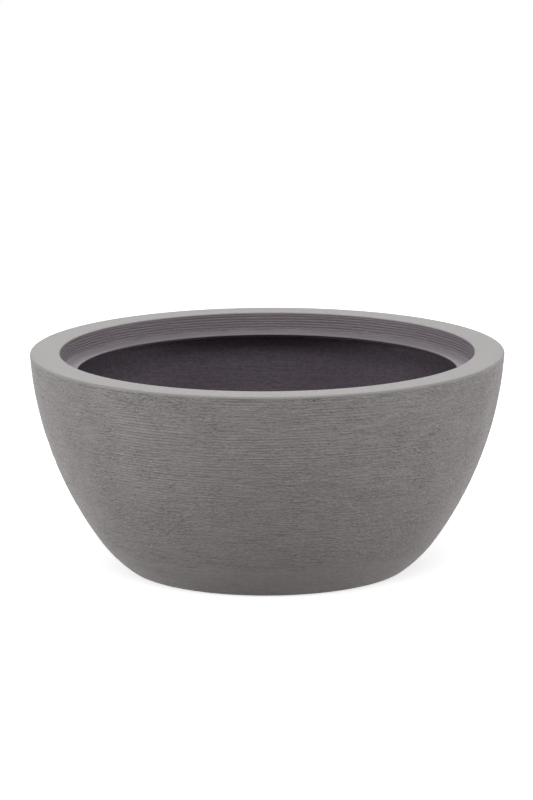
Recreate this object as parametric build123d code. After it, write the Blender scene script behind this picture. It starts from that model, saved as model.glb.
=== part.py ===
from build123d import *
import os
from math import asin, degrees, radians, sin

# A low round planter bowl for floors and terraces, in millimetres. It stands on the ground, z = 0, with its
# axis on Z and +Z up. A closed hollow moulding has two bonded skins, and its mouth is cut open inside a step
# in the rim. Rubber plugs stop the drain holes in its floor.

# overall size
diameter = 500.0
height = 231.0

# the wall's outline, from the rim down: a long curve, then a tighter one that meets the ground
rim_lean = 4.0  # degrees from upright, just under the rim
wall_radius = 382.0
heel_height = 33.0
heel_radius = 137.0
ground_edge_radius = 12.0

# rim, step and ledge round the mouth
rim_width = 31.5
rim_outer_edge_radius = 2.0
rim_inner_edge_radius = 1.5
step_depth = 20.5
step_corner_radius = 3.0
ledge_width = 17.5
ledge_edge_radius = 0.8

# the two skins of the moulding
outer_skin_thickness = 1.2
inner_skin_thickness = 3.8
inner_skin_setback = 8.0  # the inner skin stops this far short of the ledge's lip

# the underside stands on a ring, and its middle is raised clear of the ground
foot_ring_width = 13.0
foot_ring_depth = 4.0
foot_ring_edge_radius = 1.5

# drain holes, on a circle inside the foot ring
drain_count = 4
drain_diameter = 16.0
drain_inset = 42.0  # from the foot ring to the centre of each hole

# drain plugs, each dropped into its hole from inside the bowl
plug_clearance = 0.05  # all round the shank
plug_ground_clearance = 2.5
plug_shank_chamfer = 1.2
plug_flange_overlap = 5.0  # from the hole's edge to the flange's edge
plug_flange_thickness = 3.0
plug_flange_edge_radius = 1.2
plug_tab_width = 15.0
plug_tab_thickness = 3.6
plug_tab_height = 9.0
plug_tab_corner_radius = 4.0
plug_tab_edge_radius = 0.8

# places that follow from these sizes
rim_radius = diameter / 2
step_radius = rim_radius - rim_width
ledge_height = height - step_depth
mouth_radius = step_radius - ledge_width
wall_thickness = outer_skin_thickness + inner_skin_thickness
floor_height = foot_ring_depth + wall_thickness
drain_radius = drain_diameter / 2
flange_top = floor_height + plug_flange_thickness

# sections are drawn this far past the axis and under the ground, then cut off squarely there
past_axis = 4 * wall_thickness
under_ground = 1.0


# turn, in degrees, of a curve that falls by drop and starts at lean from upright
def turn(lean, drop, radius):
    return degrees(asin(sin(radians(lean)) + drop / radius)) - lean


# half of the closed moulding, as if it were solid, seen from the side: x is the radius and y the height
def moulding_section():
    with BuildSketch(Plane.XZ) as section:
        with BuildLine():
            rim_edge = JernArc(
                start=(rim_radius - rim_outer_edge_radius, height),
                tangent=(1, 0),
                radius=rim_outer_edge_radius,
                arc_size=-(90 + rim_lean),
            )
            wall_turn = turn(rim_lean, (rim_edge @ 1).Y - heel_height, wall_radius)
            wall = JernArc(rim_edge @ 1, rim_edge % 1, wall_radius, -wall_turn)
            heel_turn = turn(rim_lean + wall_turn, heel_height + under_ground, heel_radius)
            heel = JernArc(wall @ 1, wall % 1, heel_radius, -heel_turn)
            Polyline(
                heel @ 1,
                (-past_axis, (heel @ 1).Y),
                (-past_axis, ledge_height),
                (step_radius, ledge_height),
                (step_radius, height),
                rim_edge @ 0,
            )
        make_face()

        def corner(x, y):
            return section.vertices().sort_by_distance(Vector(x, y))[0]

        # level with the ground, then raised inside the foot ring
        with Locations((-past_axis, 0)):
            Rectangle(diameter, height, align=(Align.MIN, Align.MAX), mode=Mode.SUBTRACT)
        ground_edge = section.vertices().group_by(Axis.Y)[0].sort_by(Axis.X)[-1]
        ring_radius = ground_edge.X - foot_ring_width
        with Locations((-past_axis, 0)):
            Rectangle(past_axis + ring_radius, foot_ring_depth, align=(Align.MIN, Align.MIN), mode=Mode.SUBTRACT)

        fillet(corner(ground_edge.X, 0), ground_edge_radius)
        # two of these share the ring's inner side, so each takes less than half of it
        ring_edge_radius = min(foot_ring_edge_radius, 0.45 * foot_ring_depth)
        fillet([corner(ring_radius, 0), corner(ring_radius, foot_ring_depth)], ring_edge_radius)
        fillet(corner(step_radius, ledge_height), step_corner_radius)
        fillet(corner(step_radius, height), rim_inner_edge_radius)
    return section.sketch, ring_radius


# the skin between two sections, cut away inside an opening round the axis
def skin_section(outside, inside, opening_radius):
    right_of_axis = Plane.XZ * Pos(0, height / 2) * Rectangle(
        diameter, 2 * height, align=(Align.MIN, Align.CENTER)
    )
    mouth_bottom = ledge_height - 2 * wall_thickness
    mouth = Plane.XZ * Pos(0, mouth_bottom) * Rectangle(
        2 * opening_radius, height, align=(Align.CENTER, Align.MIN)
    )
    return (outside - inside) & right_of_axis - mouth


# one skin of the bowl, with the drain holes through its floor
def bowl_skin(half_section, drain_places):
    drill = Cylinder(drain_radius, 4 * floor_height)
    return revolve(half_section, Axis.Z) - [place * drill for place in drain_places]


# a rubber plug on the axis, at the height where it sits in a drain hole
def drain_plug():
    upward = (Align.CENTER, Align.CENTER, Align.MIN)
    with BuildPart() as plug:
        with Locations((0, 0, plug_ground_clearance)):
            Cylinder(drain_radius - plug_clearance, floor_height - plug_ground_clearance, align=upward)
        chamfer(plug.edges().group_by(Axis.Z)[0], plug_shank_chamfer)
        with Locations((0, 0, floor_height)):
            Cylinder(drain_radius + plug_flange_overlap, plug_flange_thickness, align=upward)
        fillet(plug.edges().group_by(Axis.Z)[-1], plug_flange_edge_radius)
        with BuildSketch(Plane.XZ) as tab:
            with Locations((0, flange_top)):
                Rectangle(plug_tab_width, plug_tab_height, align=(Align.CENTER, Align.MIN))
            fillet(tab.vertices().group_by(Axis.Y)[-1], plug_tab_corner_radius)
        extrude(amount=plug_tab_thickness / 2, both=True)
        tab_edges = plug.faces().filter_by(Axis.Y).edges()
        above_flange = tab_edges.filter_by_position(Axis.Z, flange_top, height, inclusive=(False, True))
        fillet(above_flange, plug_tab_edge_radius)
    return plug.part


closed_section, ring_radius = moulding_section()
inside_outer_skin = offset(closed_section, -outer_skin_thickness)
inside_both_skins = offset(closed_section, -wall_thickness)
outer_section = skin_section(closed_section, inside_outer_skin, mouth_radius)
ledge_edge = outer_section.vertices().sort_by_distance(Vector(mouth_radius, 0, ledge_height))[0]
outer_section = fillet(ledge_edge, ledge_edge_radius)
inner_section = skin_section(inside_outer_skin, inside_both_skins, mouth_radius + inner_skin_setback)

drain_circle_radius = ring_radius - drain_inset
drain_places = PolarLocations(drain_circle_radius, drain_count).locations

pieces = {
    "outer_shell": bowl_skin(outer_section, drain_places),
    "inner_skin": bowl_skin(inner_section, drain_places),
}
for number, place in enumerate(drain_places, start=1):
    pieces[f"drain_plug_{number}"] = place * drain_plug()

os.makedirs("parts", exist_ok=True)
for name, piece in pieces.items():
    piece.label = name
    export_step(piece, f"parts/{name}.step")
    size = piece.bounding_box().size
    print(f"{name}: {len(piece.solids())} solid, {piece.volume / 1000:.1f} cm3, "
          f"{size.X:.1f} x {size.Y:.1f} x {size.Z:.1f} mm")
print(f"foot ring from {ring_radius:.2f} mm, drain circle {drain_circle_radius:.2f} mm, floor {floor_height} mm")
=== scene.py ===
import bpy
from math import asin, ceil, cos, degrees, hypot, pi, radians, sin, sqrt
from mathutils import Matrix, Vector, noise


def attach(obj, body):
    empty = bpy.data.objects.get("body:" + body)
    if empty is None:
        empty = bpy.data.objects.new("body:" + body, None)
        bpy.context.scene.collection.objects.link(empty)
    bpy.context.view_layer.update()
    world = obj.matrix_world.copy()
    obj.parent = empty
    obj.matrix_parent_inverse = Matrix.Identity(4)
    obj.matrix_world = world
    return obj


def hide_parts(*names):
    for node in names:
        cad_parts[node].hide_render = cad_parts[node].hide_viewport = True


# A low round planter bowl, moulded hollow in grey plastic with a dark inner skin. Sizes in the dictionaries are
# millimetres and degrees unless a note says otherwise; Blender's own units stay metres, in the frame of the CAD.

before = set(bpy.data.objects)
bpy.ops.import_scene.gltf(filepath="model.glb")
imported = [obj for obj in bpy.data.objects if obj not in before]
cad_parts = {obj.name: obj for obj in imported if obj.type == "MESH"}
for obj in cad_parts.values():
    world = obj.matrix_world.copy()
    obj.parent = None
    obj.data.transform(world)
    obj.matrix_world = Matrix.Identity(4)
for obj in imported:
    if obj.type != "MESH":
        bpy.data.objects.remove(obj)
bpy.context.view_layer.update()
bpy.ops.object.select_all(action="DESELECT")
print("frame loaded:", sorted(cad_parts))

camera = {
    "distance": 5000,
    "pitch": 11.52,  # looking down
    "lookAt": (-0.9, 0, 177.3),
    "lens": 213.0,
    "roll": -0.245,  # the bowl's right side stands a little higher in the picture
}


def addCamera(size):
    pitch = radians(size["pitch"])
    target = Vector(size["lookAt"]) / 1000
    place = target + size["distance"] / 1000 * Vector((0, -cos(pitch), sin(pitch)))
    bpy.ops.object.camera_add(location=place, rotation=(pi / 2 - pitch, 0, 0))
    view = bpy.context.object
    view.name = "photoCamera"
    view.rotation_euler.rotate_axis("Z", radians(size["roll"]))
    view.data.lens = size["lens"]
    view.data.sensor_width = 36
    view.data.clip_end = 100
    bpy.context.scene.camera = view


addCamera(camera)
print("camera placed")


def linearColour(code):  # an sRGB hex value as the linear colour that nodes take
    parts = [int(code[i:i + 2], 16) / 255 for i in (1, 3, 5)]
    return [p / 12.92 if p <= 0.04045 else ((p + 0.055) / 1.055) ** 2.4 for p in parts] + [1.0]


def addNode(tree, kind, settings, inputs):
    node = tree.nodes.new(kind)
    for name, value in settings.items():
        setattr(node, name, value)
    for socket, value in inputs.items():
        if isinstance(value, bpy.types.NodeSocket):
            tree.links.new(value, node.inputs[socket])
        else:
            node.inputs[socket].default_value = value
    return node


def newMaterial(name):
    material = bpy.data.materials.new(name)
    material.use_nodes = True
    material.node_tree.nodes.clear()
    return material, material.node_tree


# Rotationally moulded polyethylene with stone powder in the grey skin. The mould was rubbed down with a coarse
# pad, which leaves broken level scratches and a sandy grain on the wall; the rim and the ledge came out smooth.
greyMoulding = {
    "name": "rotomouldedPolyethyleneGrey",
    "colour": "#a7a3a4",
    "paleColour": "#a8a3a0",
    "darkColour": "#6e6868",
    "paleGrain": "#c9c5c0",
    "darkGrain": "#4a4647",
    # painted shade: the rim's top takes this darker colour
    "rimShadeColour": "#94918e",
    # painted shade: the step's wall and the ledge take this darker colour
    "stepShadeColour": "#857d83",
    "roughness": 0.50,
    "roughnessSpread": 0.08,
    "ior": 1.51,  # polyethylene
    "specular": 0.35,
    "scratchLength": 5.2,
    "scratchWidth": 1.6,
    "scratchBump": 0.85,
    "lineLength": 24.0,
    "lineBump": 0.26,
    "patchSize": 34.0,
    "sandSize": 1.6,  # real grains are 0.2 mm and would not show
    "sandLength": 3.2,
    "sandBump": 0.40,
    "sandTint": 0.27,
    "mottleSize": 22.0,
    "speckSpacing": 5.0,
    "speckShare": 0.45,
    "speckStrength": 0.8,
    # painted shade in the scratches: how much darker their hollows are coloured
    "scratchShadeTint": 0.28,
}

# The same polymer with carbon black, from the second shot, which cooled in air and is only faintly uneven.
charcoalMoulding = {
    "name": "rotomouldedPolyethyleneCharcoal",
    "colour": "#6d626d",
    "paleColour": "#776c76",
    "darkColour": "#4f4850",
    "paleGrain": "#8b818a",
    "darkGrain": "#3c363c",
    # painted shade: the rim's top takes this darker colour
    "rimShadeColour": "#685d68",
    # painted shade: the step's wall and the ledge take this darker colour
    "stepShadeColour": "#685d68",
    "roughness": 0.55,
    "roughnessSpread": 0.08,
    "ior": 1.51,
    "specular": 0.35,
    "scratchLength": 14.0,
    "scratchWidth": 2.6,
    "scratchBump": 0.12,
    "lineLength": 50.0,
    "lineBump": 0.04,
    "patchSize": 40.0,
    "sandSize": 2.2,
    "sandLength": 4.0,
    "sandBump": 0.05,
    "sandTint": 0.4,
    "mottleSize": 18.0,
    "speckSpacing": 9.0,
    "speckShare": 0.18,
    "speckStrength": 0.5,
    # painted shade in the scratches: how much darker their hollows are coloured
    "scratchShadeTint": 0.15,
}


# heights in metres between which the wall's colour turns into the rim's painted shade, a darker colour on its top, and
# how far it turns
rimShadeFade = {"from": 0.2288, "to": 0.2302, "share": 0.85}


def mouldedPlastic(look):
    material, tree = newMaterial(look["name"])
    # x and y, and in place of z the way along the moulding's outline, so level scratches follow the surface
    place = addNode(tree, "ShaderNodeAttribute", {"attribute_name": "mouldPlace"}, {}).outputs["Vector"]
    grain = addNode(tree, "ShaderNodeAttribute", {"attribute_name": "grain"}, {}).outputs["Fac"]
    solid = addNode(tree, "ShaderNodeTexCoord", {}, {}).outputs["Object"]

    # short scratches and longer lines, each cut where its stretched noise runs high
    across = 1000 / look["scratchWidth"]
    along = 1000 / look["scratchLength"]
    shortPlace = addNode(tree, "ShaderNodeMapping", {}, {"Vector": place, "Scale": (along, along, across)})
    shortNoise = addNode(tree, "ShaderNodeTexNoise", {}, {
        "Vector": shortPlace.outputs[0], "Scale": 1.0, "Detail": 1.5, "Roughness": 0.55})
    along = 1000 / look["lineLength"]
    longPlace = addNode(tree, "ShaderNodeMapping", {}, {
        "Vector": place, "Location": (3.7, 1.9, 5.3), "Scale": (along, along, across)})
    longNoise = addNode(tree, "ShaderNodeTexNoise", {}, {
        "Vector": longPlace.outputs[0], "Scale": 1.0, "Detail": 1.0, "Roughness": 0.5})
    patches = addNode(tree, "ShaderNodeTexNoise", {}, {
        "Vector": solid, "Scale": 1000 / look["patchSize"], "Detail": 2.0, "Roughness": 0.5})
    share = addNode(tree, "ShaderNodeMapRange", {}, {
        "Value": patches.outputs["Fac"], "From Min": 0.38, "From Max": 0.62, "To Min": 0.5, "To Max": 1.0})
    combed = addNode(tree, "ShaderNodeAttribute", {"attribute_name": "combed"}, {}).outputs["Fac"]
    uncombed = addNode(tree, "ShaderNodeMapRange", {}, {"Value": combed, "To Min": 1.0, "To Max": 0.6})
    scratched = addNode(tree, "ShaderNodeMath", {"operation": "MULTIPLY"}, {
        0: share.outputs[0], 1: uncombed.outputs[0]})
    reach = addNode(tree, "ShaderNodeMath", {"operation": "MULTIPLY"}, {0: scratched.outputs[0], 1: grain})
    shortCut = addNode(tree, "ShaderNodeMapRange", {}, {
        "Value": shortNoise.outputs["Fac"], "From Min": 0.42, "From Max": 0.66, "To Min": 0.0, "To Max": 1.0})
    shortDepth = addNode(tree, "ShaderNodeMath", {"operation": "MULTIPLY"}, {
        0: shortCut.outputs[0], 1: reach.outputs[0]})
    longCut = addNode(tree, "ShaderNodeMapRange", {}, {
        "Value": longNoise.outputs["Fac"], "From Min": 0.45, "From Max": 0.65, "To Min": 0.0, "To Max": 1.0})
    longDepth = addNode(tree, "ShaderNodeMath", {"operation": "MULTIPLY"}, {0: longCut.outputs[0], 1: grain})
    along = 1000 / look["sandLength"]
    sandPlace = addNode(tree, "ShaderNodeMapping", {}, {
        "Vector": place, "Location": (1.3, 7.1, 2.9), "Scale": (along, along, 1000 / look["sandSize"])})
    sand = addNode(tree, "ShaderNodeTexNoise", {}, {
        "Vector": sandPlace.outputs[0], "Scale": 1.0, "Detail": 1.0, "Roughness": 0.6})
    sandMask = addNode(tree, "ShaderNodeMapRange", {}, {"Value": grain, "To Min": 0.2, "To Max": 1.0})
    sandDepth = addNode(tree, "ShaderNodeMath", {"operation": "MULTIPLY"}, {
        0: sand.outputs["Fac"], 1: sandMask.outputs[0]})
    sandShade = addNode(tree, "ShaderNodeMapRange", {}, {
        "Value": sand.outputs["Fac"], "From Min": 0.35, "From Max": 0.65, "To Min": 0.0, "To Max": look["sandTint"]})
    sandTone = addNode(tree, "ShaderNodeMath", {"operation": "MULTIPLY"}, {0: sandShade.outputs[0], 1: grain})
    mottle = addNode(tree, "ShaderNodeTexNoise", {}, {
        "Vector": solid, "Scale": 1000 / look["mottleSize"], "Detail": 3.0, "Roughness": 0.55})

    # small grains and pits, pale or dark, in some of the cells
    specks = addNode(tree, "ShaderNodeTexVoronoi", {}, {
        "Vector": solid, "Scale": 1000 / look["speckSpacing"], "Randomness": 1.0})
    inGrain = addNode(tree, "ShaderNodeMapRange", {}, {
        "Value": specks.outputs["Distance"], "From Min": 0.10, "From Max": 0.19, "To Min": look["speckStrength"],
        "To Max": 0.0})
    chance = addNode(tree, "ShaderNodeSeparateColor", {}, {"Color": specks.outputs["Color"]})
    chosen = addNode(tree, "ShaderNodeMath", {"operation": "LESS_THAN"}, {
        0: chance.outputs[0], 1: look["speckShare"]})
    speck = addNode(tree, "ShaderNodeMath", {"operation": "MULTIPLY"}, {0: inGrain.outputs[0], 1: chosen.outputs[0]})
    speckOnWall = addNode(tree, "ShaderNodeMath", {"operation": "MULTIPLY"}, {0: speck.outputs[0], 1: grain})

    # broad tone, then painted shade in the scratches and the sand's random tone, then specks
    lift = addNode(tree, "ShaderNodeMapRange", {}, {
        "Value": mottle.outputs["Fac"], "From Min": 0.3, "From Max": 0.7, "To Min": 0.0, "To Max": 0.12})
    broad = addNode(tree, "ShaderNodeMix", {"data_type": "RGBA"}, {
        0: lift.outputs[0], 6: linearColour(look["colour"]), 7: linearColour(look["paleColour"])})
    bothDepths = addNode(tree, "ShaderNodeMath", {"operation": "MAXIMUM"}, {
        0: shortDepth.outputs[0], 1: longDepth.outputs[0]})
    # painted shade: the scratches are coloured darker by their depth
    scratchShade = addNode(tree, "ShaderNodeMath", {"operation": "MULTIPLY"}, {
        0: bothDepths.outputs[0], 1: look["scratchShadeTint"]})
    scratchShadeAndSand = addNode(tree, "ShaderNodeMath", {"operation": "ADD"}, {0: scratchShade.outputs[0], 1: sandTone.outputs[0]})
    height = addNode(tree, "ShaderNodeSeparateXYZ", {}, {"Vector": solid})
    # painted shade: the rim's top is coloured darker than the wall
    onRim = addNode(tree, "ShaderNodeMapRange", {}, {
        "Value": height.outputs["Z"], "From Min": rimShadeFade["from"], "From Max": rimShadeFade["to"], "To Min": 0.0,
        "To Max": rimShadeFade["share"]})
    rimShaded = addNode(tree, "ShaderNodeMix", {"data_type": "RGBA"}, {
        0: onRim.outputs[0], 6: broad.outputs[2], 7: linearColour(look["rimShadeColour"])})
    # painted shade: the step's wall and the ledge, in the recess under the rim, are coloured a shade darker
    stepShadeZone = addNode(tree, "ShaderNodeAttribute", {"attribute_name": "stepShadeZone"}, {}).outputs["Fac"]
    stepShaded = addNode(tree, "ShaderNodeMix", {"data_type": "RGBA"}, {
        0: stepShadeZone, 6: rimShaded.outputs[2], 7: linearColour(look["stepShadeColour"])})
    scratchShadedAndSanded = addNode(tree, "ShaderNodeMix", {"data_type": "RGBA"}, {
        0: scratchShadeAndSand.outputs[0], 6: stepShaded.outputs[2], 7: linearColour(look["darkColour"])})
    speckTone = addNode(tree, "ShaderNodeMix", {"data_type": "RGBA"}, {
        0: chance.outputs[1], 6: linearColour(look["darkGrain"]), 7: linearColour(look["paleGrain"])})
    speckled = addNode(tree, "ShaderNodeMix", {"data_type": "RGBA"}, {
        0: speckOnWall.outputs[0], 6: scratchShadedAndSanded.outputs[2], 7: speckTone.outputs[2]})

    sheen = addNode(tree, "ShaderNodeMapRange", {}, {
        "Value": sand.outputs["Fac"], "From Min": 0.3, "From Max": 0.7,
        "To Min": look["roughness"] - look["roughnessSpread"], "To Max": look["roughness"] + look["roughnessSpread"]})

    # scratches and grain sink into the surface as well as being coloured above, the scratches with painted shade
    shortBump = addNode(tree, "ShaderNodeBump", {"invert": True}, {
        "Height": shortDepth.outputs[0], "Strength": 1.0, "Distance": look["scratchBump"] / 1000})
    longBump = addNode(tree, "ShaderNodeBump", {"invert": True}, {
        "Height": longDepth.outputs[0], "Strength": 1.0, "Distance": look["lineBump"] / 1000,
        "Normal": shortBump.outputs[0]})
    sanded = addNode(tree, "ShaderNodeBump", {}, {
        "Height": sandDepth.outputs[0], "Strength": 1.0, "Distance": look["sandBump"] / 1000,
        "Normal": longBump.outputs[0]})

    plastic = addNode(tree, "ShaderNodeBsdfPrincipled", {}, {
        "Base Color": speckled.outputs[2], "Roughness": sheen.outputs[0], "IOR": look["ior"],
        "Specular IOR Level": look["specular"], "Normal": sanded.outputs[0]})
    addNode(tree, "ShaderNodeOutputMaterial", {}, {"Surface": plastic.outputs[0]})
    return material


# Moulded EPDM rubber: matt black, with a fine bloom of talc in its grain.
plugRubber = {
    "name": "mouldedRubberBlack",
    "colour": "#242424",
    "bloom": "#3c3c3b",
    "roughness": 0.62,
    "ior": 1.52,
    "bloomSize": 3.0,
    "grainSize": 0.6,
    "grainBump": 0.03,
}


def mouldedRubber(look):
    material, tree = newMaterial(look["name"])
    solid = addNode(tree, "ShaderNodeTexCoord", {}, {}).outputs["Object"]
    cloud = addNode(tree, "ShaderNodeTexNoise", {}, {
        "Vector": solid, "Scale": 1000 / look["bloomSize"], "Detail": 3.0, "Roughness": 0.6})
    grain = addNode(tree, "ShaderNodeTexNoise", {}, {
        "Vector": solid, "Scale": 1000 / look["grainSize"], "Detail": 1.0})
    dust = addNode(tree, "ShaderNodeMapRange", {}, {
        "Value": cloud.outputs["Fac"], "From Min": 0.45, "From Max": 0.75, "To Min": 0.0, "To Max": 0.7})
    colour = addNode(tree, "ShaderNodeMix", {"data_type": "RGBA"}, {
        0: dust.outputs[0], 6: linearColour(look["colour"]), 7: linearColour(look["bloom"])})
    rough = addNode(tree, "ShaderNodeMapRange", {}, {
        "Value": cloud.outputs["Fac"], "From Min": 0.3, "From Max": 0.7,
        "To Min": look["roughness"] - 0.07, "To Max": look["roughness"] + 0.1})
    bump = addNode(tree, "ShaderNodeBump", {}, {
        "Height": grain.outputs["Fac"], "Strength": 1.0, "Distance": look["grainBump"] / 1000})
    rubber = addNode(tree, "ShaderNodeBsdfPrincipled", {}, {
        "Base Color": colour.outputs[2], "Roughness": rough.outputs[0], "IOR": look["ior"],
        "Normal": bump.outputs[0]})
    addNode(tree, "ShaderNodeOutputMaterial", {}, {"Surface": rubber.outputs[0]})
    return material


greySkin = mouldedPlastic(greyMoulding)
charcoalSkin = mouldedPlastic(charcoalMoulding)
blackRubber = mouldedRubber(plugRubber)
print("materials made")

bowl = {
    "rimRadius": 250,
    "height": 231,
    "rimLean": 4.0,
    "rimOuterEdge": 2,
    "wallRadius": 382,
    "heelHeight": 33,
    "heelRadius": 137,
    "groundEdge": 12,
    "rimWidth": 31.5,
    "rimInnerEdge": 1.5,
    "stepDepth": 20.5,
    "stepCorner": 3,
    "ledgeWidth": 17.5,
    "ledgeEdge": 0.8,
    "outerSkin": 1.2,
    "innerSkin": 3.8,
    "innerSetback": 8,  # the inner skin stops this far short of the ledge's lip
    "ringWidth": 13,
    "ringDepth": 4,
    "ringEdge": 1.5,
    "drainInset": 42,
    "drainRadius": 8,
    "ventMark": 7,  # radius of the round mark that the mould's vent leaves under the floor
    "segments": 240,
    "rowSpacing": 0.97,  # fine enough for the lines in the wall
    "stepRowSpacing": 0.55,
}


def onArc(arc, lean, inset=0):  # lean is the surface's turn from upright: 90 faces the ground, -90 the sky
    (r, z), radius = arc["centre"], arc["radius"] - inset
    return r + radius * cos(radians(lean)), z - radius * sin(radians(lean))


# The outline from rim to ground is four arcs that run on smoothly, each given by its centre, radius and leans.
def wallArcs(size):
    rimEdge = {"centre": (size["rimRadius"] - size["rimOuterEdge"], size["height"] - size["rimOuterEdge"]),
               "radius": size["rimOuterEdge"], "leans": (-90, size["rimLean"])}
    joint = onArc(rimEdge, size["rimLean"])
    lean = radians(size["rimLean"])
    wall = {"centre": (joint[0] - size["wallRadius"] * cos(lean), joint[1] + size["wallRadius"] * sin(lean)),
            "radius": size["wallRadius"]}
    heelLean = degrees(asin((wall["centre"][1] - size["heelHeight"]) / size["wallRadius"]))
    wall["leans"] = (size["rimLean"], heelLean)
    joint = onArc(wall, heelLean)
    lean = radians(heelLean)
    heel = {"centre": (joint[0] - size["heelRadius"] * cos(lean), joint[1] + size["heelRadius"] * sin(lean)),
            "radius": size["heelRadius"]}
    reach = size["heelRadius"] - size["groundEdge"]
    drop = heel["centre"][1] - size["groundEdge"]
    groundLean = degrees(asin(drop / reach))
    heel["leans"] = (heelLean, groundLean)
    edge = {"centre": (heel["centre"][0] + sqrt(reach ** 2 - drop ** 2), size["groundEdge"]),
            "radius": size["groundEdge"], "leans": (groundLean, 90)}
    groundRadius = heel["centre"][0] + sqrt(size["heelRadius"] ** 2 - heel["centre"][1] ** 2)
    return [rimEdge, wall, heel, edge], groundRadius


def arcPoints(arc, inset=0, spacing=2.0, fewest=3):
    first, last = arc["leans"]
    length = abs(radians(last - first)) * (arc["radius"] - inset)
    count = max(fewest, ceil(length / spacing))
    return [onArc(arc, first + (last - first) * i / count, inset) for i in range(count + 1)]


def corner(centre, radius, first, last, count):  # first and last are directions in degrees, anticlockwise from outward
    return [(centre[0] + radius * cos(radians(first + (last - first) * i / count)),
             centre[1] + radius * sin(radians(first + (last - first) * i / count))) for i in range(count + 1)]


def level(z, radii):
    return [(r, z) for r in radii]


weldDistance = 0.000002  # metres: vertices nearer than this are one


# A profile is a list of stretches, each with its points and how much of the mould's scratched grain it carries.
def spinProfile(name, stretches, segments):
    points, grains, ways = [], [], []
    for stretch, grain in stretches:
        for point in stretch:
            if points and hypot(point[0] - points[-1][0], point[1] - points[-1][1]) < 0.01:
                grains[-1] = min(grains[-1], grain)
                continue
            ways.append(ways[-1] + hypot(point[0] - points[-1][0], point[1] - points[-1][1]) if points else 0.0)
            points.append(point)
            grains.append(grain)
    start = Vector((points[0][0], 0, points[0][1])) / 1000
    bpy.ops.object.select_all(action="DESELECT")
    bpy.ops.mesh.primitive_plane_add(size=0.001, location=start)
    piece = bpy.context.object
    piece.name = piece.data.name = name
    bpy.ops.object.transform_apply(location=True, rotation=True, scale=True)
    bpy.ops.object.mode_set(mode="EDIT")
    bpy.ops.mesh.select_mode(type="VERT")
    bpy.ops.mesh.merge(type="CENTER")
    bpy.ops.object.mode_set(mode="OBJECT")  # so that the new vertices are numbered in order
    bpy.ops.object.mode_set(mode="EDIT")
    for before, after in zip(points, points[1:]):
        step = ((after[0] - before[0]) / 1000, 0, (after[1] - before[1]) / 1000)
        bpy.ops.mesh.extrude_region_move(TRANSFORM_OT_translate={"value": step})
    bpy.ops.object.mode_set(mode="OBJECT")
    layers = [piece.data.attributes.new(layer, "FLOAT", "POINT") for layer in ("grain", "way")]
    for vertex in piece.data.vertices:  # exact places, then the grain and the way along the profile
        vertex.co = Vector((points[vertex.index][0], 0, points[vertex.index][1])) / 1000
        layers[0].data[vertex.index].value = grains[vertex.index]
        layers[1].data[vertex.index].value = ways[vertex.index]
    bpy.ops.object.mode_set(mode="EDIT")
    bpy.ops.mesh.select_all(action="SELECT")
    bpy.ops.mesh.spin(steps=segments, angle=2 * pi, center=(0, 0, 0), axis=(0, 0, 1))
    bpy.ops.mesh.select_all(action="SELECT")
    bpy.ops.mesh.remove_doubles(threshold=weldDistance)
    bpy.ops.mesh.normals_make_consistent(inside=False)
    bpy.ops.object.mode_set(mode="OBJECT")
    return piece


# takes away or welds on the shape of another object, which is then gone
def fuse(piece, other, operation):
    bpy.ops.object.select_all(action="DESELECT")
    bpy.context.view_layer.objects.active = piece
    change = piece.modifiers.new("fuse", "BOOLEAN")
    change.operation = operation
    change.solver = "MANIFOLD"
    change.object = other
    bpy.ops.object.modifier_apply(modifier=change.name)
    bpy.data.objects.remove(other)
    piece.select_set(True)
    bpy.ops.object.mode_set(mode="EDIT")
    bpy.ops.mesh.select_all(action="SELECT")
    bpy.ops.mesh.remove_doubles(threshold=weldDistance)
    bpy.ops.mesh.dissolve_degenerate(threshold=weldDistance)
    bpy.ops.mesh.normals_make_consistent(inside=False)
    bpy.ops.object.mode_set(mode="OBJECT")


def drillDrains(piece, places, radius):
    for x, y in places:
        bpy.ops.object.select_all(action="DESELECT")
        bpy.ops.mesh.primitive_cylinder_add(
            vertices=48, radius=radius / 1000, depth=0.05, location=(x / 1000, y / 1000, 0))
        fuse(piece, bpy.context.object, "DIFFERENCE")
    while piece.data.uv_layers:  # the drill's own map
        piece.data.uv_layers.remove(piece.data.uv_layers[0])


arcs, groundRadius = wallArcs(bowl)
rimEdgeArc, wallArc, heelArc, groundArc = arcs
ringRadius = groundRadius - bowl["ringWidth"]
stepRadius = bowl["rimRadius"] - bowl["rimWidth"]
mouthRadius = stepRadius - bowl["ledgeWidth"]
ledgeHeight = bowl["height"] - bowl["stepDepth"]
drainCircle = ringRadius - bowl["drainInset"]
drainPlaces = [(drainCircle, 0), (0, drainCircle), (-drainCircle, 0), (0, -drainCircle)]
bothSkins = bowl["outerSkin"] + bowl["innerSkin"]
floorHeight = bowl["ringDepth"] + bothSkins
print(f"outline: ground {groundRadius:.2f}, ring {ringRadius:.2f}, drains on {drainCircle:.2f}")

wallLines = {
    "length": 24.0,
    "width": 1.5,
    "depth": 0.65,
    "waver": 0.9,
    "patch": 42.0,
    "least": 0.05,  # share of the depth that is left in the calmest patches
    "combPitch": 3.1,  # some areas were rubbed with a comb, which leaves evenly spaced lines
    "combShare": 0.9,
    "combArea": 90.0,
}

# the step's upright wall was turned in the mould, and carries its tool's grooves
stepGrooves = {
    "pitch": 2.9,
    "depth": 0.58,
    "sharpness": 1.5,
    "waver": 0.35,
    "waverAcross": 55,
    "waverAlong": 6,
    "fade": 22.0,
    "fadeAlong": 2.6,
    "fadeBase": 0.75,
    "fadeGain": 0.8,
    "fadeLeast": 0.3,
    # the step's zone carries both the turned grooves and the painted shade of the recess
    "below": 1,  # the step's zone reaches this far below the ledge
    "outside": 0.1,  # and this far outside the step's wall
}

innerLines = {
    "length": 34.0,
    "width": 7.0,
    "depth": 0.22,
    "waver": 2.0,
    "patch": 60.0,
    "least": 0.4,
    "combPitch": 9.0,
    "combShare": 0.0,
    "combArea": 90.0,
}


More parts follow.
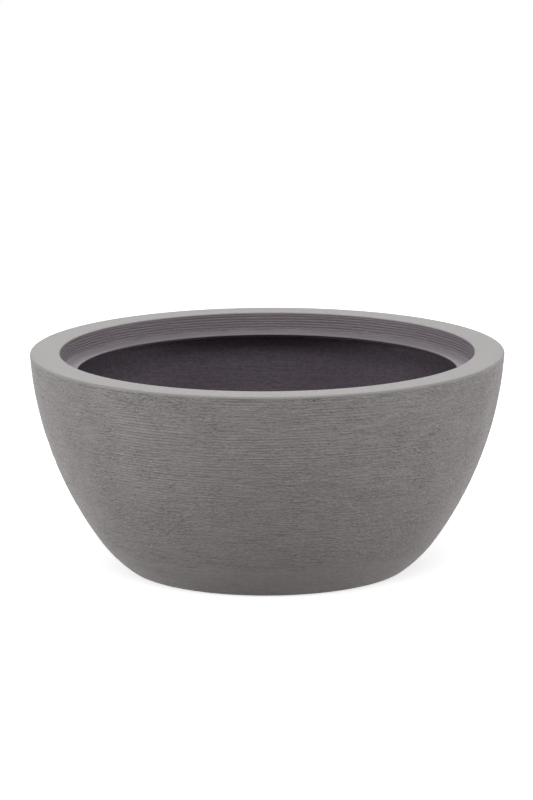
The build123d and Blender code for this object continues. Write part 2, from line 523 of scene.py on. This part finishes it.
# how the noise becomes lines, the same for both skins
lineNoise = {
    "combStart": 56,  # the stretch of noise that puts the combed area in the wall's upper middle, as in the photo
    "combFlatness": 1.5,
    "combBase": 0.2,
    "combGain": 2.6,
    "waverAcross": 70,
    "waverAlong": 45,
    "patchStart": 5,
    "patchFlatness": 2,
    "patchWayStart": 3,
    "patchBase": 0.35,
    "patchGain": 2.0,
    "combWave": 0.6,
    "combRoughness": 0.5,
    "depthAtGround": 0.7,
    "depthTowardRim": 0.6,
    "cutBase": 0.45,
    "cutGain": 1.1,
}


# how far a place was rubbed with the comb, from 0 to the piece's combShare
def combing(x, y, way, size):
    area = noise.noise((
        x / size["combArea"] + lineNoise["combStart"], y / size["combArea"],
        way / size["combArea"] * lineNoise["combFlatness"]))
    return size["combShare"] * min(1.0, max(0.0, lineNoise["combBase"] + lineNoise["combGain"] * area))


# how deep the lines go at a place on the moulding, all of it inward
def lineDepth(x, y, z, way, combed, size):
    across = lineNoise["waverAcross"]
    waver = size["waver"] * noise.noise((x / across, y / across, way / lineNoise["waverAlong"]))
    fine = noise.noise((x / size["length"], y / size["length"], (way + waver) / size["width"]))
    patch = noise.noise((
        x / size["patch"] + lineNoise["patchStart"], y / size["patch"],
        way / size["patch"] * lineNoise["patchFlatness"] + lineNoise["patchWayStart"]))
    wave = cos(2 * pi * (way + waver) / size["combPitch"])
    comb = lineNoise["combWave"] * wave + lineNoise["combRoughness"] * fine
    share = min(1.0, max(size["least"], combed, lineNoise["patchBase"] + lineNoise["patchGain"] * patch))
    towardRim = lineNoise["depthAtGround"] + lineNoise["depthTowardRim"] * z / bowl["height"]
    cut = lineNoise["cutBase"] + (1 - combed) * lineNoise["cutGain"] * fine + combed * comb
    return size["depth"] * share * towardRim * min(1.0, max(0.0, cut))


def grooveDepth(x, y, way, size):
    across = size["waverAcross"]
    waver = size["waver"] * noise.noise((x / across, y / across, way / size["waverAlong"]))
    wave = 0.5 + 0.5 * cos(2 * pi * (way + waver) / size["pitch"])
    faded = noise.noise((x / size["fade"], y / size["fade"], way / size["fadeAlong"]))
    fade = size["fadeBase"] + size["fadeGain"] * faded
    return size["depth"] * wave ** size["sharpness"] * min(1.0, max(size["fadeLeast"], fade))


# writes each vertex's place for the material, and sinks the lines into the surface
def cutLines(piece, size):
    mesh = piece.data
    mesh.attributes.new("mouldPlace", "FLOAT_VECTOR", "POINT")
    mesh.attributes.new("stepShadeZone", "FLOAT", "POINT")
    mesh.attributes.new("combed", "FLOAT", "POINT")
    layers = ("mouldPlace", "stepShadeZone", "combed", "grain", "way")
    places, stepShades, combs, grain, way = [mesh.attributes[layer].data for layer in layers]
    normals = [v.normal.copy() for v in mesh.vertices]
    for v in mesh.vertices:
        x, y, z = v.co * 1000
        onFloor = hypot(x, y) < ringRadius - 2 * bowl["ringEdge"]
        along = hypot(x, y) if onFloor else way[v.index].value
        places[v.index].vector = (x / 1000, y / 1000, along / 1000)
        onStep = z > ledgeHeight - stepGrooves["below"] and hypot(x, y) < stepRadius + stepGrooves["outside"]
        # the step's zone marks where the painted shade of the recess goes
        stepShades[v.index].value = 1.0 if onStep else 0.0
        if grain[v.index].value > 0 and not onFloor:
            combs[v.index].value = 0.0 if onStep else combing(x, y, along, size)
            lines = grain[v.index].value * lineDepth(x, y, z, along, combs[v.index].value, size)
            v.co -= normals[v.index] * (grooveDepth(x, y, along, stepGrooves) if onStep else lines) / 1000
    mesh.update()


def finishPiece(piece, material, body, node):
    piece.data.materials.clear()
    piece.data.materials.append(material)
    bpy.ops.object.select_all(action="DESELECT")
    piece.select_set(True)
    bpy.context.view_layer.objects.active = piece
    bpy.ops.object.shade_smooth_by_angle(angle=radians(45))
    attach(piece, body)
    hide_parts(node)
    triangles = sum(len(p.vertices) - 2 for p in piece.data.polygons)
    print(f"{piece.name}: {len(piece.data.vertices)} vertices, {triangles} triangles")


def makeOuterSkin(size):
    skin = size["outerSkin"]
    edge = size["ringEdge"]
    rim = size["height"]
    vent = size["ventMark"]
    spacing = size["rowSpacing"]
    ringArc = (ringRadius - edge, size["ringDepth"] - edge)
    stepArc = (stepRadius - size["stepCorner"], ledgeHeight + size["stepCorner"])
    underside = size["ringDepth"]
    stretches = [
        ([(0, underside + 0.35), (vent - 1, underside + 0.35), (vent - 0.6, underside), (vent, underside)], 0),
        ([(vent + 0.3, underside + 0.3), (vent + 0.8, underside + 0.3), (vent + 1.1, underside)], 0),
        (level(underside, (30, 54, 78, drainCircle, 106, 122, ringRadius - edge)), 0.3),
        (corner(ringArc, edge, 90, 0, 4), 0),
        (corner((ringRadius + edge, edge), edge, 180, 270, 4), 0),
        (list(reversed(arcPoints(groundArc, 0, 1.5))), 0.15),
        (list(reversed(arcPoints(heelArc, 0, spacing))), 0.7),
        (list(reversed(arcPoints(wallArc, 0, spacing))), 1.0),
        (list(reversed(arcPoints(rimEdgeArc, 0, 0.8))), 0),
        (level(rim, (240, 233, 226)), 0),
        (corner((stepRadius + size["rimInnerEdge"], rim - size["rimInnerEdge"]), size["rimInnerEdge"], 90, 180, 5), 0),
        ([(stepRadius, rim - size["rimInnerEdge"] - size["stepRowSpacing"] * i) for i in range(1, 30)], 0.35),
        (corner(stepArc, size["stepCorner"], 0, -50, 6), 0.35),
        (corner(stepArc, size["stepCorner"], -60, -90, 3), 0),
        (level(ledgeHeight, (211, 206.5)), 0),
        (corner((mouthRadius + size["ledgeEdge"], ledgeHeight - size["ledgeEdge"]), size["ledgeEdge"], 90, 180, 4), 0),
        (level(ledgeHeight - skin, (mouthRadius, 208, stepRadius - size["stepCorner"])), 0),
        (corner(stepArc, size["stepCorner"] + skin, -90, 0, 4), 0),
        (level(rim - skin, (stepRadius + skin, rimEdgeArc["centre"][0])), 0),
        (arcPoints(rimEdgeArc, skin, 1), 0),
        (arcPoints(wallArc, skin, 30), 0),
        (arcPoints(heelArc, skin, 16), 0),
        (arcPoints(groundArc, skin, 4), 0),
        (level(skin, (ringRadius + skin,)), 0),
        (corner(ringArc, edge + skin, 0, 90, 4), 0),
        (level(underside + skin, (106, drainCircle, 78, 0)), 0),
    ]
    piece = spinProfile("outerSkin", stretches, size["segments"])
    drillDrains(piece, drainPlaces, size["drainRadius"])
    cutLines(piece, wallLines)
    finishPiece(piece, greySkin, "bowl", "outer_shell")


def makeInnerSkin(size):
    outer = size["outerSkin"]
    edge = size["ringEdge"]
    wallTop = size["height"] - bothSkins
    topLean = degrees(asin((wallArc["centre"][1] - wallTop) / (wallArc["radius"] - bothSkins)))
    openWall = dict(wallArc, leans=(topLean, wallArc["leans"][1]))
    ringArc = (ringRadius - edge, size["ringDepth"] - edge)
    ringEnd = degrees(asin((bothSkins - ringArc[1]) / (edge + bothSkins)))
    stepArc = (stepRadius - size["stepCorner"], ledgeHeight + size["stepCorner"])
    stretches = [
        (level(floorHeight, (0, 26, 52, 78, drainCircle, 106, 120)), 0.4),
        (corner(ringArc, edge + bothSkins, 90, ringEnd, 5), 0),
        (list(reversed(arcPoints(groundArc, bothSkins, 1.6))), 0.3),
        (list(reversed(arcPoints(heelArc, bothSkins, 2.4))), 0.8),
        (list(reversed(arcPoints(openWall, bothSkins, 2.4))), 1.0),
        (level(wallTop, (234, stepRadius + bothSkins)), 0),
        (corner(stepArc, size["stepCorner"] + bothSkins, 0, -90, 5), 0),
        (level(ledgeHeight - bothSkins, (mouthRadius + size["innerSetback"],)), 0),
        (level(ledgeHeight - outer, (mouthRadius + size["innerSetback"],)), 0),
        (corner(stepArc, size["stepCorner"] + outer, -90, 0, 4), 0),
        (level(size["height"] - outer, (stepRadius + outer, rimEdgeArc["centre"][0])), 0),
        (arcPoints(rimEdgeArc, outer, 1), 0),
        (arcPoints(wallArc, outer, 30), 0),
        (arcPoints(heelArc, outer, 16), 0),
        (arcPoints(groundArc, outer, 4), 0),
        (level(outer, (ringRadius + outer,)), 0),
        (corner(ringArc, edge + outer, 0, 90, 4), 0),
        (level(size["ringDepth"] + outer, (106, drainCircle, 78, 0)), 0),
    ]
    piece = spinProfile("innerSkin", stretches, size["segments"])
    drillDrains(piece, drainPlaces, size["drainRadius"])
    cutLines(piece, innerLines)
    finishPiece(piece, charcoalSkin, "bowl", "inner_skin")


makeOuterSkin(bowl)
makeInnerSkin(bowl)
print("bowl made")

drainPlug = {
    "shankRadius": 7.95,
    "neckRadius": 7.6,  # between the three sealing ribs
    "ribGaps": (4.6, 6.3),  # where each gap between two ribs begins
    "shankBottom": 2.5,
    "chamfer": 1.2,
    "flangeRadius": 13,
    "flangeThickness": 3,
    "flangeEdge": 1.2,
    "dishRadius": 10.6,  # the flange is dished a little inside its raised lip
    "dishDepth": 0.4,
    "tabWidth": 15,
    "tabThickness": 3.0,
    "tabHeight": 9,
    "tabCorner": 4,
    "tabEdge": 0.6,
    "gripWidth": 9.6,
    "gripThickness": 3.6,
    "gripHeight": 0.9,
    "gripPitch": 1.9,
    "gripCount": 3,
    "gripStart": 2.6,  # above the flange
    "gripEdge": 0.28,
    "segments": 72,
}


# a box at its place, with its edges along y near the top rounded first when topCorner is given, then all of them
def roundedBox(centre, sides, edge, topCorner=0):
    bpy.ops.object.select_all(action="DESELECT")
    bpy.ops.mesh.primitive_cube_add(size=1, location=Vector(centre) / 1000, scale=Vector(sides) / 1000)
    box = bpy.context.object
    bpy.ops.object.transform_apply(location=True, rotation=True, scale=True)
    top = (centre[2] + sides[2] / 2) / 1000 - 0.00001
    if topCorner:
        bpy.ops.object.mode_set(mode="EDIT")
        bpy.ops.mesh.select_mode(type="EDGE")
        bpy.ops.mesh.select_all(action="DESELECT")
        bpy.ops.object.mode_set(mode="OBJECT")
        for line in box.data.edges:
            ends = [box.data.vertices[i].co for i in line.vertices]
            line.select = abs(ends[0].y - ends[1].y) > 0.0001 and min(ends[0].z, ends[1].z) > top
        bpy.ops.object.mode_set(mode="EDIT")
        bpy.ops.mesh.bevel(offset=topCorner / 1000, segments=8)
        bpy.ops.object.mode_set(mode="OBJECT")
    soften = box.modifiers.new("soften", "BEVEL")
    soften.width = edge / 1000
    soften.segments = 3
    soften.limit_method = "ANGLE"
    soften.angle_limit = radians(50)
    bpy.ops.object.modifier_apply(modifier=soften.name)
    return box


# one plug, modelled where the first drain hole is
def makePlug(size):
    shank, neck, bottom = size["shankRadius"], size["neckRadius"], size["shankBottom"]
    flange, thick = size["flangeRadius"], size["flangeThickness"]
    top = floorHeight + thick
    dish = top - size["dishDepth"]
    ribs = []
    for low in size["ribGaps"]:
        ribs += [(shank, low), (neck, low + 0.3), (neck, low + 0.9), (shank, low + 1.2)]
    hollow = [(0, bottom + 0.5), (4.8, bottom + 0.5), (5.2, bottom + 0.1), (5.5, bottom)]
    chamfer = [(shank - size["chamfer"], bottom), (shank, bottom + size["chamfer"])]
    underFlange = [(shank, floorHeight), (flange - 0.3, floorHeight), (flange, floorHeight + 0.3)]
    profile = hollow + chamfer + ribs + underFlange
    profile += corner((flange - size["flangeEdge"], top - size["flangeEdge"]), size["flangeEdge"], 0, 90, 6)
    inner = size["dishRadius"]
    profile += [(inner, top), (inner - 0.2, top - 0.1), (inner - 0.5, dish), (0, dish)]
    plug = spinProfile("drainPlug", [(profile, 0)], size["segments"])
    base = dish - 0.6
    height = top + size["tabHeight"] - base
    tabSides = (size["tabWidth"], size["tabThickness"], height)
    tab = roundedBox((0, 0, base + height / 2), tabSides, size["tabEdge"], size["tabCorner"])
    fuse(plug, tab, "UNION")
    gripSides = (size["gripWidth"], size["gripThickness"], size["gripHeight"])
    for i in range(size["gripCount"]):
        z = top + size["gripStart"] + size["gripPitch"] * i
        fuse(plug, roundedBox((0, 0, z), gripSides, size["gripEdge"]), "UNION")
    while plug.data.uv_layers:
        plug.data.uv_layers.remove(plug.data.uv_layers[0])
    plug.location.x = drainCircle / 1000
    bpy.ops.object.select_all(action="DESELECT")
    plug.select_set(True)
    bpy.context.view_layer.objects.active = plug
    bpy.ops.object.transform_apply(location=True, rotation=True, scale=True)
    return plug


firstPlug = makePlug(drainPlug)
for number in range(1, 5):
    plug = firstPlug if number == 1 else firstPlug.copy()
    if number > 1:
        plug.data = firstPlug.data.copy()
        bpy.context.collection.objects.link(plug)
        bpy.ops.object.select_all(action="DESELECT")
        plug.select_set(True)
        bpy.context.view_layer.objects.active = plug
        plug.rotation_euler.z = radians(90 * (number - 1))
        bpy.ops.object.transform_apply(location=True, rotation=True, scale=True)
    plug.name = plug.data.name = f"drainPlug{number}"
    finishPiece(plug, blackRubber, f"plug_{number}", f"drain_plug_{number}")
print("plugs made")

studio = {
    "floorSide": 5.6,  # metres
    "floorColour": "#f2f2f2",
    "floorSeenByLight": "#a9a09e",
    "floorGlow": 0.7,
    "glowStarts": 0.112,  # metres from the bowl's axis
    "glowFull": 0.14,
    "ambient": 0.15,
}


# 1 for what the camera sees, also in a gloss or through something, and 0 for what only gives light
def directSight(tree):
    ray = addNode(tree, "ShaderNodeLightPath", {}, {})
    seen = addNode(tree, "ShaderNodeMath", {"operation": "MAXIMUM"}, {
        0: ray.outputs["Is Camera Ray"], 1: ray.outputs["Is Glossy Ray"]})
    seenToo = addNode(tree, "ShaderNodeMath", {"operation": "MAXIMUM"}, {
        0: seen.outputs[0], 1: ray.outputs["Is Transmission Ray"]})
    return seenToo.outputs[0]


def addFloor(look):
    bpy.ops.object.select_all(action="DESELECT")
    bpy.ops.mesh.primitive_plane_add(size=look["floorSide"], location=(0, 0, -0.0002))
    floor = bpy.context.object
    floor.name = "studioFloor"
    material, tree = newMaterial("paintedStudioFloor")
    sight = directSight(tree)
    colour = addNode(tree, "ShaderNodeMix", {"data_type": "RGBA"}, {
        0: sight, 6: linearColour(look["floorSeenByLight"]), 7: linearColour(look["floorColour"])})
    paint = addNode(tree, "ShaderNodeBsdfDiffuse", {}, {"Color": colour.outputs[2]})
    # no glow under the bowl, so that an open drain hole looks dark
    place = addNode(tree, "ShaderNodeTexCoord", {}, {}).outputs["Object"]
    reach = addNode(tree, "ShaderNodeVectorMath", {"operation": "LENGTH"}, {0: place})
    outside = addNode(tree, "ShaderNodeMapRange", {}, {
        "Value": reach.outputs["Value"], "From Min": look["glowStarts"], "From Max": look["glowFull"], "To Min": 0.0,
        "To Max": look["floorGlow"]})
    glowAmount = addNode(tree, "ShaderNodeMath", {"operation": "MULTIPLY"}, {0: sight, 1: outside.outputs[0]})
    glow = addNode(tree, "ShaderNodeEmission", {}, {"Color": (1, 1, 1, 1), "Strength": glowAmount.outputs[0]})
    both = addNode(tree, "ShaderNodeAddShader", {}, {0: paint.outputs[0], 1: glow.outputs[0]})
    addNode(tree, "ShaderNodeOutputMaterial", {}, {"Surface": both.outputs[0]})
    floor.data.materials.append(material)


def lightWorld(look):
    world = bpy.data.worlds.new("studioWorld")
    bpy.context.scene.world = world
    world.use_nodes = True
    tree = world.node_tree
    tree.nodes.clear()
    sight = directSight(tree)
    amount = addNode(tree, "ShaderNodeMapRange", {}, {"Value": sight, "To Min": look["ambient"], "To Max": 1.0})
    sky = addNode(tree, "ShaderNodeBackground", {}, {"Color": (1, 1, 1, 1), "Strength": amount.outputs[0]})
    addNode(tree, "ShaderNodeOutputWorld", {}, {"Surface": sky.outputs[0]})


# soft boxes, in metres and watts: name, place, the point each one faces, width, height, power
lamps = [
    ("overhead", (0.0, 0.1, 3.0), (0, 0, 0.1), 2.0, 2.0, 27),
    ("leftHigh", (-2.2, -0.3, 2.4), (0, 0, 0.15), 1.5, 1.5, 9),
    ("rightHigh", (2.2, -0.3, 2.4), (0, 0, 0.15), 1.5, 1.5, 4),
    ("leftLow", (-2.6, -0.7, 0.6), (0, 0, 0.12), 1.2, 0.9, 19),
    ("rightLow", (2.6, -0.7, 0.6), (0, 0, 0.12), 1.2, 0.9, 16),
    ("front", (0.0, -2.6, 2.2), (0, 0, 0.12), 1.5, 1.2, 29),
    ("back", (0.0, 2.6, 1.8), (0, 0, 0.2), 2.0, 1.2, 14),
]


def addLamp(name, place, target, width, height, power):
    bpy.ops.object.light_add(type="AREA", location=place)
    lamp = bpy.context.object
    lamp.name = name
    lamp.rotation_euler = (Vector(target) - Vector(place)).to_track_quat("-Z", "Y").to_euler()
    lamp.data.shape = "RECTANGLE"
    lamp.data.size = width
    lamp.data.size_y = height
    lamp.data.energy = power
    lamp.visible_camera = False


addFloor(studio)
lightWorld(studio)
for lamp in lamps:
    addLamp(*lamp)
bpy.context.scene.view_settings.view_transform = "Standard"
print("studio lit")

bpy.context.view_layer.update()
